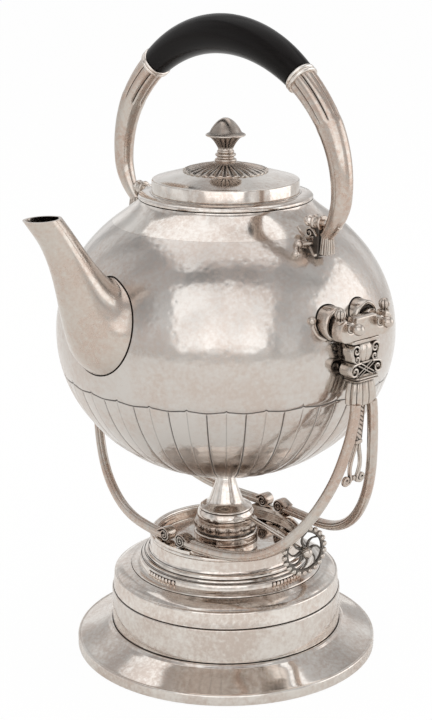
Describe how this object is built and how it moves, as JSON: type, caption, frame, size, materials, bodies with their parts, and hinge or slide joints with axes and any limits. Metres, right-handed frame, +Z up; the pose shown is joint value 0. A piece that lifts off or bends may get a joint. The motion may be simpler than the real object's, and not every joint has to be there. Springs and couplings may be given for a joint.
{
  "type": "spirit kettle on stand",
  "caption": "Silver kettle with a bail handle and a lift-off lid, hung in two yokes over a spirit burner on a round stepped stand; it tilts forward to pour.",
  "frame": {"origin": "on the stand's axis, in the plane of the table under the foot", "axes": "+Z up, the spout points to -X, the yokes and the handle's feet lie along Y"},
  "size_m": [0.215, 0.2102, 0.337],
  "materials": {
    "silver": "polished",
    "silver_hammered": "satin",
    "plate_mirror": "polished",
    "ebony": "gloss",
    "brass": "satin",
    "steel": "satin",
    "cotton": "matte"
  },
  "bodies": {
    "stand": {"foot_flange": "silver", "drum": "silver", "collar": "silver", "bead_strips": "silver", "lamp_plate": "plate_mirror", "spirit_font": "silver", "burner_ring": "silver", "burner_gallery": "silver", "burner_neck": "silver", "wick_tube": "silver", "arm_front_right": "silver", "arm_front_left": "silver", "arm_back_right": "silver", "arm_back_left": "silver", "saddle_right": "silver", "saddle_left": "silver", "yoke_front": "silver", "yoke_back": "silver", "yoke_finials": "silver", "capital_front": "silver", "capital_back": "silver", "pendant_front": "silver", "pendant_back": "silver"},
    "tilt_axle": {"tilt_trunnions": "silver"},
    "kettle": {"kettle_body": "silver_hammered", "neck_ring": "silver", "spout": "silver", "tilt_lugs": "silver", "rest_lugs": "silver", "rest_trunnions": "silver", "handle_lug_front": "silver", "handle_lug_back": "silver"},
    "lid": {"lid_plate": "silver", "lid_bezel": "silver", "rosette": "silver", "knob": "silver", "knob_stud": "steel", "knob_nut": "steel"},
    "handle": {"grip_tang": "steel", "grip": "ebony", "ferrule_front": "silver", "ferrule_back": "silver", "limb_front": "silver", "limb_back": "silver", "terminal_front": "silver", "terminal_back": "silver", "hinge_pins": "silver"},
    "snuffer": {"snuffer_cap": "silver"},
    "regulator": {"regulator_rod": "silver", "regulator_pinion": "brass", "regulator_wheel": "silver"},
    "wick": {"wick": "cotton"}
  },
  "joints": [
    {"name": "kettle_lift", "type": "slide", "parent": "stand", "child": "tilt_axle", "axis": [0, 0, 1], "range_m": [0, 0.12]},
    {"name": "kettle_tilt", "type": "hinge", "parent": "tilt_axle", "child": "kettle", "pos_m": [-0.0104, 0, 0.1965], "axis": [0, -1, 0], "range_deg": [0, 35]},
    {"name": "lid_lift", "type": "slide", "parent": "kettle", "child": "lid", "axis": [0, 0, 1], "range_m": [0, 0.025]},
    {"name": "handle_swing", "type": "hinge", "parent": "kettle", "child": "handle", "pos_m": [0, 0, 0.2414], "axis": [0, 1, 0], "range_deg": [-75, 75]},
    {"name": "snuffer_lift", "type": "slide", "parent": "stand", "child": "snuffer", "axis": [0, 0, 1], "range_m": [0, 0.003]},
    {"name": "regulator_turn", "type": "hinge", "parent": "stand", "child": "regulator", "pos_m": [0.0076, -0.00175, 0.0726], "axis": [-0.225, -0.9744, 0], "range_deg": [0, 65]},
    {"name": "wick_raise", "type": "slide", "parent": "stand", "child": "wick", "axis": [0, 0, 1], "range_m": [0, 0.0042]}
  ],
  "couplings": [
    {"joint": "wick_raise", "follows": "regulator_turn", "m_per_rad": 0.0037}
  ]
}
